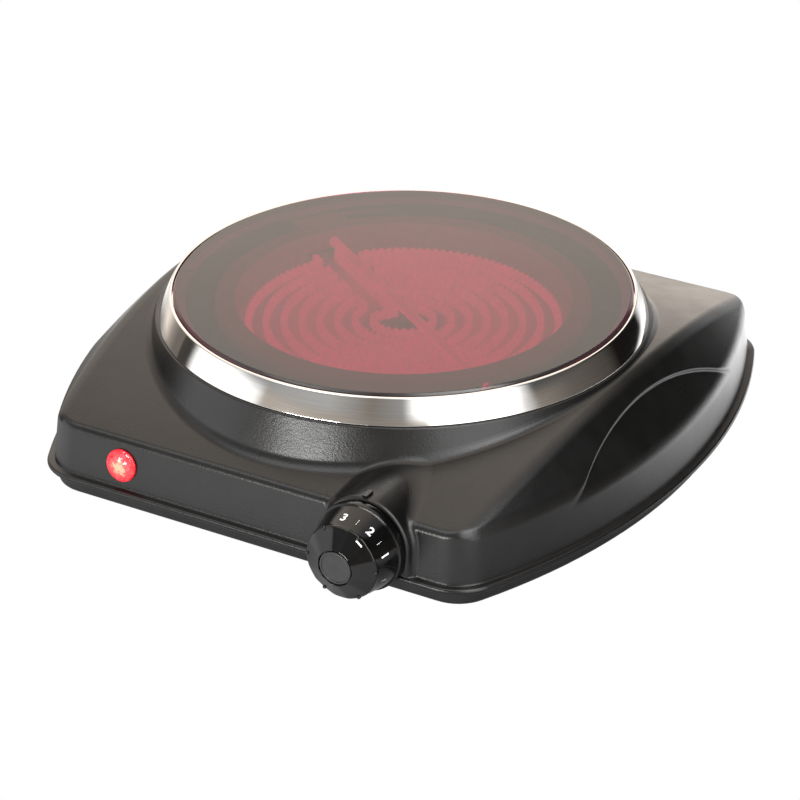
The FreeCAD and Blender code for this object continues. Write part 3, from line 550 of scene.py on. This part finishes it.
# ---- materials ---------------------------------------------------------------
class Look:
    """A node material with short ways to add its textures."""

    def __init__(self, name, color, roughness, metallic=0.0, **inputs):
        self.material = bpy.data.materials.new(name)
        self.material.use_nodes = True
        self.tree = self.material.node_tree
        self.shader = self.tree.nodes["Principled BSDF"]
        self.set("Base Color", (*color, 1))
        self.set("Roughness", roughness)
        self.set("Metallic", metallic)
        for key, value in inputs.items():
            self.set(key.replace("_", " ").title().replace("Ior", "IOR"), value)
        self.height = None
        self.coords = self.add("ShaderNodeTexCoord").outputs["Object"]

    def set(self, socket, value):
        self.shader.inputs[socket].default_value = value

    def add(self, kind, **values):
        node = self.tree.nodes.new(kind)
        for key, value in values.items():
            setattr(node, key, value)
        return node

    def link(self, output, node_input):
        self.tree.links.new(output, node_input)

    def fill(self, node, values):
        """Gives each value, a number or an output, to the node's inputs in turn."""
        for node_input, value in zip(node.inputs, values):
            if isinstance(value, (int, float)):
                node_input.default_value = value
            else:
                self.link(value, node_input)
        return node.outputs[0]

    def math(self, operation, a, b=0.0):
        return self.fill(self.add("ShaderNodeMath", operation=operation), (a, b))

    def parts(self):
        node = self.add("ShaderNodeSeparateXYZ")
        self.link(self.coords, node.inputs[0])
        return node.outputs[0], node.outputs[1], node.outputs[2]

    def vector(self, x, y, z):
        return self.fill(self.add("ShaderNodeCombineXYZ"), (x, y, z))

    def noise(self, size_mm, detail=3.0, rough=0.55, vector=None):
        """Cloudy 0..1 pattern with features about size_mm across."""
        node = self.add("ShaderNodeTexNoise")
        node.inputs["Scale"].default_value = 1 / (size_mm * MM)
        node.inputs["Detail"].default_value = detail
        node.inputs["Roughness"].default_value = rough
        self.link(vector or self.coords, node.inputs["Vector"])
        return node.outputs["Fac"]

    def cells(self, size_mm):
        """Distance to the nearest cell centre, for cells about size_mm across."""
        node = self.add("ShaderNodeTexVoronoi")
        node.inputs["Scale"].default_value = 1 / (size_mm * MM)
        self.link(self.coords, node.inputs["Vector"])
        return node.outputs["Distance"]

    def ramp(self, factor, stops, ease="LINEAR"):
        node = self.add("ShaderNodeValToRGB")
        node.color_ramp.interpolation = ease
        while len(node.color_ramp.elements) < len(stops):
            node.color_ramp.elements.new(0.5)
        for element, (place, value) in zip(node.color_ramp.elements, stops):
            element.position = place
            color = value if isinstance(value, tuple) else (value,) * 3
            element.color = (*color, 1)
        self.link(factor, node.inputs["Fac"])
        return node.outputs["Color"]

    def range(self, factor, low, high, from_low=0.0, from_high=1.0):
        node = self.add("ShaderNodeMapRange")
        node.inputs["From Min"].default_value = from_low
        node.inputs["From Max"].default_value = from_high
        node.inputs["To Min"].default_value = low
        node.inputs["To Max"].default_value = high
        self.link(factor, node.inputs["Value"])
        return node.outputs["Result"]

    def drive(self, socket, output):
        self.link(output, self.shader.inputs[socket])

    def bump(self, height, strength, depth_mm):
        node = self.add("ShaderNodeBump")
        node.inputs["Strength"].default_value = strength
        node.inputs["Distance"].default_value = depth_mm * MM
        self.link(height, node.inputs["Height"])
        if self.height is not None:
            self.link(self.height, node.inputs["Normal"])
        self.height = node.outputs["Normal"]
        self.link(self.height, self.shader.inputs["Normal"])

    def hypot(self, a, b):
        return self.math("SQRT", self.math("ADD", self.math("MULTIPLY", a, a),
                                           self.math("MULTIPLY", b, b)))

    def tone(self, size_mm, dark, light):
        """Base colour that drifts between two tones."""
        self.drive("Base Color", self.ramp(self.noise(size_mm), [(0.3, dark), (0.7, light)]))

    def sheen_spread(self, size_mm, low, high):
        """Roughness that drifts between two values."""
        self.drive("Roughness", self.range(self.noise(size_mm), low, high, 0.3, 0.7))


def powder_coat(name, dark, light, rough, grain=1.0, strength=1.0):
    look = Look(name, light, rough)
    look.tone(9.0, dark, light)
    look.sheen_spread(14.0, rough - 0.03, rough + 0.03)
    look.bump(look.noise(grain, 2.0, 0.7), strength, 0.06)
    look.bump(look.noise(2.6, 2.0), 0.25, 0.04)
    return look.material


def turned_steel(name):
    """Polished stainless with faint lines round the ring."""
    look = Look(name, (0.79, 0.775, 0.755), 0.12, 1.0)
    x, y, z = look.parts()
    round_ring = look.math("MULTIPLY", look.math("ARCTAN2", y, x), 0.0006)
    lines = look.noise(0.16, 3.0, 0.6, look.vector(look.hypot(x, y), round_ring, z))
    patches = look.noise(18.0, 2.0)
    rough = look.math("ADD", look.range(lines, 0.05, 0.10, 0.3, 0.7),
                      look.range(patches, -0.02, 0.03, 0.35, 0.7))
    look.drive("Roughness", rough)
    look.drive("Base Color", look.ramp(lines, [(0.3, (0.70, 0.68, 0.655)),
                                               (0.7, (0.84, 0.83, 0.81))]))
    look.bump(lines, 0.04, 0.01)
    return look.material


def plain_metal(name, dark, light, rough, spangle=0.0):
    look = Look(name, light, rough, 1.0)
    look.tone(5.0, dark, light)
    look.sheen_spread(2.0, rough - 0.08, rough + 0.10)
    look.bump(look.noise(0.5, 3.0), 0.25, 0.01)
    if spangle:
        look.drive("Base Color", look.ramp(look.cells(spangle),
                                           [(0.0, light), (0.5, dark), (1.0, light)]))
    return look.material


def plastic(name, dark, light, rough, grain=0.8, strength=0.2, **inputs):
    look = Look(name, light, rough, **inputs)
    look.tone(6.0, dark, light)
    look.sheen_spread(5.0, max(rough - 0.05, 0.02), rough + 0.06)
    look.bump(look.noise(grain, 3.0), strength, 0.015)
    return look.material


def glass_material():
    """Dark ceramic glass: glossy on top, with the heater's glow showing through."""
    look = Look("ceramic_glass", (0.03, 0.028, 0.027), 0.06)
    haze_share = 0.56
    look.bump(look.noise(1.2, 2.0), 0.03, 0.004)
    clear = look.add("ShaderNodeBsdfTransparent")
    clear.inputs["Color"].default_value = (0.66, 0.2, 0.42, 1)
    haze = look.add("ShaderNodeBsdfDiffuse")
    look.link(look.ramp(look.noise(25.0), [(0.3, (0.028, 0.025, 0.024)),
                                           (0.7, (0.036, 0.033, 0.032))]), haze.inputs["Color"])
    gloss = look.add("ShaderNodeBsdfGlossy")
    gloss.inputs["Color"].default_value = (1, 0.985, 0.97, 1)
    look.link(look.range(look.noise(30.0), 0.03, 0.07, 0.3, 0.7), gloss.inputs["Roughness"])
    look.link(look.height, gloss.inputs["Normal"])
    fresnel = look.add("ShaderNodeFresnel")
    fresnel.inputs["IOR"].default_value = 1.5
    geometry = look.add("ShaderNodeNewGeometry")
    front = look.math("SUBTRACT", 1.0, geometry.outputs["Backfacing"])
    body = look.add("ShaderNodeMixShader")
    look.link(look.math("MULTIPLY", front, haze_share), body.inputs["Fac"])
    look.link(clear.outputs[0], body.inputs[1])
    look.link(haze.outputs[0], body.inputs[2])
    coat = look.add("ShaderNodeMixShader")
    look.link(look.math("MULTIPLY", front, fresnel.outputs[0]), coat.inputs["Fac"])
    look.link(body.outputs[0], coat.inputs[1])
    look.link(gloss.outputs[0], coat.inputs[2])
    look.link(coat.outputs[0], look.tree.nodes["Material Output"].inputs["Surface"])
    return look.material


def ribbon_material():
    look = Look("glowing_ribbon", (0.08, 0.03, 0.02), 0.6, 0.6)
    look.drive("Emission Color", look.ramp(look.noise(3.0, 2.0), [(0.3, (0.75, 0.01, 0.19)),
                                                                  (0.7, (1.0, 0.02, 0.27))]))
    look.set("Emission Strength", 1.65)
    look.bump(look.noise(0.6), 0.3, 0.05)
    return look.material


def insulation_material(name, glow, inner, outer):
    """Pale fibrous board, with the ribbon's red light on it painted on as emission from the inner
    share of its radius on.
    """
    look = Look(name, (0.4, 0.38, 0.36), 0.95)
    look.tone(3.0, (0.30, 0.28, 0.26), (0.42, 0.40, 0.38))
    x, y, _ = look.parts()
    share = look.math("DIVIDE", look.hypot(x, y), HEATER_R * MM)
    # painted light: the red glow the ribbon throws on the board, set by radius and given as emission
    stops = [(0.0, (0.0, 0.0, 0.0)), (inner, (0.10, 0.0, 0.02)),
             ((inner + outer) / 2, (0.8, 0.02, 0.2)), (outer, (1.0, 0.03, 0.25)),
             (1.0, (0.4, 0.01, 0.1))]
    look.drive("Emission Color", look.ramp(share, stops, "EASE"))
    look.set("Emission Strength", glow)
    look.bump(look.noise(1.4, 4.0, 0.7), 0.6, 0.25)
    return look.material


def lens_material():
    look = Look("lit_lens", (0.55, 0.01, 0.02), 0.08, IOR=1.49)
    x, _, z = look.parts()
    radius = look.hypot(look.math("SUBTRACT", x, LAMP_X * MM),
                        look.math("SUBTRACT", z, LAMP_Z * MM))
    fleck = look.range(look.noise(1.5, 2.0, 0.6), -0.22, 0.22, 0.3, 0.7)
    place = look.math("ADD", look.math("DIVIDE", radius, LENS_R * MM), fleck)
    stops = [(0.0, (1.0, 0.72, 0.42)), (0.28, (1.0, 0.62, 0.36)), (0.45, (1.0, 0.16, 0.14)),
             (0.78, (0.9, 0.05, 0.06)), (0.95, (0.25, 0.0, 0.004))]
    look.drive("Emission Color", look.ramp(place, stops))
    look.set("Emission Strength", 0.95)
    look.bump(look.cells(1.1), 0.35, 0.15)
    return look.material


def rod_material():
    look = Look("quartz_tube", (0.3, 0.2, 0.2), 0.2)
    look.tone(3.0, (0.22, 0.14, 0.14), (0.34, 0.24, 0.24))
    # painted light: the ribbon's red glow on the tube, given as emission
    look.drive("Emission Color", look.ramp(look.noise(9.0), [(0.3, (0.7, 0.01, 0.17)),
                                                             (0.7, (1.0, 0.02, 0.25))]))
    look.set("Emission Strength", 1.5)
    return look.material


def wire_material(name, color, stripe=None):
    look = Look(name, color, 0.45)
    dark = tuple(0.75 * c for c in color)
    look.tone(4.0, dark, color)
    if stripe:
        x, y, z = look.parts()
        slant = look.math("ADD", look.math("ADD", x, y), z)
        wave = look.math("SINE", look.math("MULTIPLY", slant, 900))
        look.drive("Base Color", look.ramp(wave, [(0.48, color), (0.52, stripe)]))
    look.bump(look.noise(1.0), 0.1, 0.02)
    return look.material


def white_print():
    look = Look("white_print", (0.85, 0.85, 0.84), 0.5)
    look.tone(0.8, (0.72, 0.72, 0.71), (0.9, 0.9, 0.89))
    look.bump(look.noise(0.3), 0.2, 0.01)
    return look.material


def rubber_material():
    look = Look("foot_rubber", (0.02, 0.02, 0.02), 0.75)
    look.tone(2.0, (0.012, 0.012, 0.012), (0.03, 0.03, 0.03))
    look.bump(look.noise(0.7, 3.0), 0.4, 0.06)
    return look.material


def dress_piece(piece, material):
    piece.data.materials.clear()
    piece.data.materials.append(material)


def dress(names, material):
    for name in names:
        dress_piece(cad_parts[name], material)


# ---- camera, light and floor -------------------------------------------------
def camera():
    data = bpy.data.cameras.new("camera")
    data.lens = 135
    data.sensor_width = 36
    data.clip_end = 20
    cam = bpy.data.objects.new("camera", data)
    cam.location = (0.5218, -0.9134, 0.5855)
    cam.rotation_euler = (math.radians(61.49), 0, math.radians(29.81))
    bpy.context.scene.collection.objects.link(cam)
    bpy.context.scene.camera = cam


def shader_math(tree):
    """Gives a function that adds a math node and gives its output."""
    def operate(kind, a, b=None, c=None):
        node = tree.nodes.new("ShaderNodeMath")
        node.operation = kind
        for index, value in enumerate((a, b, c)):
            if isinstance(value, (int, float)):
                node.inputs[index].default_value = value
            elif value is not None:
                tree.links.new(value, node.inputs[index])
        return node.outputs[0]
    return operate


def shader_ramp(tree, factor, stops):
    """Colours along 0..1 from (place, brightness, warmth) stops."""
    node = tree.nodes.new("ShaderNodeValToRGB")
    while len(node.color_ramp.elements) < len(stops):
        node.color_ramp.elements.new(0.5)
    for element, (place, tone, warmth) in zip(node.color_ramp.elements, stops):
        element.position = place
        tone /= BRIGHTEST
        element.color = (tone, tone * (1 - 0.11 * warmth), tone * (1 - 0.21 * warmth), 1)
    tree.links.new(factor, node.inputs["Fac"])
    return node.outputs["Color"]


def round_about(stops):
    """Stops given by compass angle in degrees, placed along 0..1."""
    return [((degrees + 180) / 360, tone, warmth) for degrees, tone, warmth in stops]


# Brightness of what the paint and the ring mirror, as (compass degrees, brightness,
# warmth).  These stops are rounded and adjusted by hand from a table that a separate script
# worked out from the reference picture's tones.  They are not a plain soft studio light, and
# that is an open fault.
BRIGHTEST = 8.0
LOW_SKY = [
    (-180, 0.08, 1), (-172, 0.05, 1), (-167, 1.6, 0), (-138, 1.8, 0), (-129, 1.3, 0), (-125, 0.55, 1),
    (-100, 0.5, 1), (-86, 0.42, 1), (-74, 0.3, 1), (-60, 0.34, 1), (-50, 0.6, 1), (-46, 3.2, 0),
    (-14, 3.2, 0), (-5, 1.0, 0), (2, 0.3, 1), (20, 0.15, 1), (44, 0.08, 1), (52, 0.01, 1),
    (77, 0.01, 1), (84, 1.1, 0), (98, 1.2, 0), (108, 2.6, 1), (118, 1.2, 1), (135, 0.9, 1),
    (160, 1.1, 1), (168, 0.4, 1), (174, 0.2, 1)]
MID_SKY = [
    (-180, 0.6, 1), (-160, 1.0, 0), (-148, 0.9, 0), (-138, 0.3, 0), (-118, 0.45, 0), (-95, 0.5, 0),
    (-75, 0.25, 1), (-60, 0.35, 0), (-46, 3.8, 0), (-15, 4.8, 0), (-5, 1.4, 0), (2, 0.1, 0),
    (60, 0.01, 0), (98, 0.03, 0), (108, 1.6, 1), (118, 1.75, 1), (150, 1.6, 1), (170, 0.8, 1)]
HIGH_SKY = [
    (-180, 0.7, 1), (-155, 1.0, 0), (-146, 3.5, 0), (-118, 3.2, 0), (-98, 1.5, 0), (-80, 0.3, 1),
    (-60, 1.3, 0), (-42, 5.0, 0), (-10, 8.0, 0), (2, 6.0, 0), (12, 1.0, 0), (50, 0.8, 0),
    (78, 1.6, 1), (110, 2.0, 1), (150, 1.8, 1), (170, 0.8, 1)]
NEAR_FLOOR = [
    (-180, 0.1, 0), (-165, 0.15, 0), (-150, 0.8, 0), (-135, 1.5, 0), (-85, 1.5, 0), (-20, 0.7, 0),
    (0, 1.0, 0), (20, 2.4, 0), (45, 3.8, 0), (66, 2.2, 0), (80, 0.6, 0), (98, 0.25, 0),
    (110, 1.4, 0), (155, 1.6, 0), (170, 0.3, 0)]


def studio_world():
    """White to the camera.  Reflections and light come from the three sky rings."""
    world = bpy.data.worlds.new("studio")
    bpy.context.scene.world = world
    world.use_nodes = True
    tree = world.node_tree
    tree.nodes.clear()
    new, link = tree.nodes.new, tree.links.new
    operate = shader_math(tree)
    coords = new("ShaderNodeTexCoord")
    split = new("ShaderNodeSeparateXYZ")
    link(coords.outputs["Generated"], split.inputs[0])
    x, y, z = split.outputs
    turn = operate("MULTIPLY_ADD", operate("ARCTAN2", y, x), 1 / (2 * math.pi), 0.5)
    rise = operate("ARCSINE", z)

    def between(start, end):
        node = new("ShaderNodeMapRange")
        node.interpolation_type = "SMOOTHSTEP"
        node.inputs["From Min"].default_value = math.radians(start)
        node.inputs["From Max"].default_value = math.radians(end)
        link(rise, node.inputs["Value"])
        return node.outputs["Result"]

    def blend(share, a, b):
        node = new("ShaderNodeMix")
        node.data_type = "RGBA"
        for value, place in ((share, 0), (a, 6), (b, 7)):
            link(value, node.inputs[place])
        return node.outputs[2]

    low, mid, high = [shader_ramp(tree, turn, round_about(sky))
                      for sky in (LOW_SKY, MID_SKY, HIGH_SKY)]
    sky = blend(between(12, 24), low, mid)
    sky = blend(between(42, 54), sky, high)
    seen = new("ShaderNodeBackground")
    seen.inputs["Color"].default_value = (1, 1, 1, 1)
    around = new("ShaderNodeBackground")
    around.inputs["Strength"].default_value = BRIGHTEST
    link(sky, around.inputs["Color"])
    path = new("ShaderNodeLightPath")
    mix = new("ShaderNodeMixShader")
    link(path.outputs["Is Camera Ray"], mix.inputs["Fac"])
    link(around.outputs[0], mix.inputs[1])
    link(seen.outputs[0], mix.inputs[2])
    out = new("ShaderNodeOutputWorld")
    link(mix.outputs[0], out.inputs["Surface"])


def studio_floor():
    """White to the camera from above.  What the object mirrors of it follows NEAR_FLOOR,
    with a painted contact shadow that darkens it close to the body, and is clear far away, where the
    world shows."""
    size = 6.0
    mesh = bpy.data.meshes.new("floor")
    mesh.from_pydata([(-size, -size, 0), (size, -size, 0), (size, size, 0), (-size, size, 0)],
                     [], [(0, 1, 2, 3)])
    floor = bpy.data.objects.new("floor", mesh)
    bpy.context.scene.collection.objects.link(floor)
    material = bpy.data.materials.new("pale_floor")
    material.use_nodes = True
    tree = material.node_tree
    tree.nodes.clear()
    new, link = tree.nodes.new, tree.links.new
    operate = shader_math(tree)
    coords = new("ShaderNodeTexCoord")
    split = new("ShaderNodeSeparateXYZ")
    link(coords.outputs["Object"], split.inputs[0])
    x, y, _ = split.outputs
    turn = operate("MULTIPLY_ADD", operate("ARCTAN2", y, x), 1 / (2 * math.pi), 0.5)
    body_share = 0.87
    half_x, half_y = float(CAD_BOX[1].x), float(-CAD_BOX[0].y * body_share)
    across = operate("POWER", operate("ABSOLUTE", operate("DIVIDE", x, half_x)), 4)
    along = operate("POWER", operate("ABSOLUTE", operate("DIVIDE", y, half_y)), 4)
    reach = operate("POWER", operate("ADD", across, along), 0.25)
    # painted contact shadow: the mirrored floor's emission falls to 0.3 of full close to the body
    painted_contact_shadow = new("ShaderNodeMapRange")
    painted_contact_shadow.inputs["From Min"].default_value = 1.06
    painted_contact_shadow.inputs["From Max"].default_value = 1.35
    painted_contact_shadow.inputs["To Min"].default_value = 0.3
    link(reach, painted_contact_shadow.inputs["Value"])
    glow = new("ShaderNodeEmission")
    link(shader_ramp(tree, turn, round_about(NEAR_FLOOR)), glow.inputs["Color"])
    link(operate("MULTIPLY", painted_contact_shadow.outputs["Result"], BRIGHTEST), glow.inputs["Strength"])
    far = new("ShaderNodeMapRange")
    far.inputs["From Min"].default_value = 2.0
    far.inputs["From Max"].default_value = 3.2
    link(reach, far.inputs["Value"])
    beyond = new("ShaderNodeBsdfTransparent")
    mirrored = new("ShaderNodeMixShader")
    link(far.outputs["Result"], mirrored.inputs["Fac"])
    link(glow.outputs[0], mirrored.inputs[1])
    link(beyond.outputs[0], mirrored.inputs[2])
    plain = new("ShaderNodeEmission")
    plain.inputs["Color"].default_value = (1, 1, 1, 1)
    geometry = new("ShaderNodeNewGeometry")
    one_sided = new("ShaderNodeMixShader")
    link(geometry.outputs["Backfacing"], one_sided.inputs["Fac"])
    link(plain.outputs[0], one_sided.inputs[1])
    link(beyond.outputs[0], one_sided.inputs[2])
    path = new("ShaderNodeLightPath")
    mix = new("ShaderNodeMixShader")
    link(path.outputs["Is Camera Ray"], mix.inputs["Fac"])
    link(mirrored.outputs[0], mix.inputs[1])
    link(one_sided.outputs[0], mix.inputs[2])
    out = new("ShaderNodeOutputMaterial")
    link(mix.outputs[0], out.inputs["Surface"])
    floor.data.materials.append(material)


def soft_box(name, place, aim, size, power):
    data = bpy.data.lights.new(name, "AREA")
    data.shape = "RECTANGLE"
    data.size, data.size_y = size
    data.energy = power
    lamp = bpy.data.objects.new(name, data)
    lamp.location = place
    lamp.rotation_euler = (Vector(aim) - Vector(place)).to_track_quat("-Z", "Y").to_euler()
    bpy.context.scene.collection.objects.link(lamp)


# ---- put together ------------------------------------------------------------
camera()
studio_world()
studio_floor()
soft_box("low_front", (-0.20, -1.28, 0.11), (0, -0.1, 0.05), (0.56, 0.15), 8.0)

bpy.context.scene.view_settings.view_transform = "Standard"
bpy.context.scene.view_settings.look = "None"

body = pressed_body()
dress_piece(body, powder_coat("black_powder_coat", (0.0022, 0.0021, 0.0020),
                              (0.0042, 0.0040, 0.0038), 0.30))
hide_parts("housing", "riser")

ring = ring_piece()
dress_piece(ring, turned_steel("polished_steel"))
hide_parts("trim_ring")

glass = glass_piece()
dress_piece(glass, glass_material())
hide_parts("glass_plate")

ribbon = ribbon_piece()
dress_piece(ribbon, ribbon_material())
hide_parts("heating_ribbon")

knob = knob_piece()
knob_plastic = plastic("knob_plastic", (0.0015, 0.0015, 0.0015), (0.003, 0.003, 0.003),
                       0.12, 1.5, 0.05, IOR=1.42)
dress_piece(knob, knob_plastic)
nibs = knob_nibs()
dress_piece(nibs, knob_plastic)
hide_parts("knob")
cap = knob_cap_piece()
dress_piece(cap, plastic("cap_plastic", (0.010, 0.010, 0.010), (0.018, 0.018, 0.018),
                         0.28, 0.5, 0.15))
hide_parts("knob_cap")
marks = dial_marks()
dress_piece(marks, white_print())

lens = lens_piece()
dress_piece(lens, lens_material())
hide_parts("lamp_lens")

dress(["base_pan"],
      powder_coat("pan_coat", (0.010, 0.010, 0.0105), (0.016, 0.016, 0.0165), 0.34, 0.8))
dress(["pointer_mark"],
      plastic("mark_plastic", (0.006, 0.006, 0.006), (0.011, 0.011, 0.011), 0.2))
dress(["ring_studs", "ring_washers", "ring_nuts", "foot_screws", "regulator_screws",
       "shield_spacers", "knob_clip", "regulator_shaft", "regulator_plate", "heater_springs",
       "lamp_clip"],
      plain_metal("zinc_plated", (0.45, 0.46, 0.47), (0.66, 0.67, 0.68), 0.32))
dress(["housing_brackets", "heater_crossbar", "heat_shield", "heater_pan"],
      plain_metal("galvanised_sheet", (0.42, 0.43, 0.44), (0.60, 0.61, 0.62), 0.38, 4.0))
dress(["insulation_base"], insulation_material("insulation_floor_painted_glow", 0.8, 0.12, 0.5))
dress(["insulation_wall"], insulation_material("insulation_rim_painted_glow", 0.26, 0.2, 0.6))
dress(["limiter_rod"], rod_material())
dress(["limiter_switch", "terminal_block"],
      plastic("steatite", (0.70, 0.68, 0.63), (0.82, 0.80, 0.75), 0.6))
dress(["heater_tabs", "limiter_blades", "regulator_blades", "terminal_sleeves",
       "terminal_screws", "earth_tag", "earth_screw"],
      plain_metal("brass_parts", (0.58, 0.43, 0.18), (0.78, 0.62, 0.32), 0.3))
dress(["regulator_body"],
      plastic("regulator_moulding", (0.09, 0.075, 0.06), (0.15, 0.13, 0.11), 0.5))
dress(["lamp_holder"], plastic("white_nylon", (0.70, 0.70, 0.68), (0.82, 0.82, 0.80), 0.5))
dress(["lamp_tube"], plastic("neon_glass", (0.85, 0.45, 0.3), (0.95, 0.6, 0.4), 0.1))
dress(["rubber_feet"], rubber_material())
dress(["cable_gland", "gland_cap", "gland_nut"],
      plastic("black_nylon", (0.012, 0.012, 0.012), (0.022, 0.022, 0.022), 0.45))
dress(["glass_seal"], plastic("seal_fibre", (0.45, 0.43, 0.40), (0.6, 0.58, 0.55), 0.9))
dress(["wire_live", "wire_switched"], wire_material("brown_wire", (0.16, 0.06, 0.025)))
dress(["wire_neutral"], wire_material("blue_wire", (0.03, 0.10, 0.38)))
dress(["wire_earth"], wire_material("earth_wire", (0.10, 0.38, 0.05), (0.75, 0.65, 0.05)))
dress(["lamp_leads"], wire_material("white_wire", (0.75, 0.75, 0.74)))
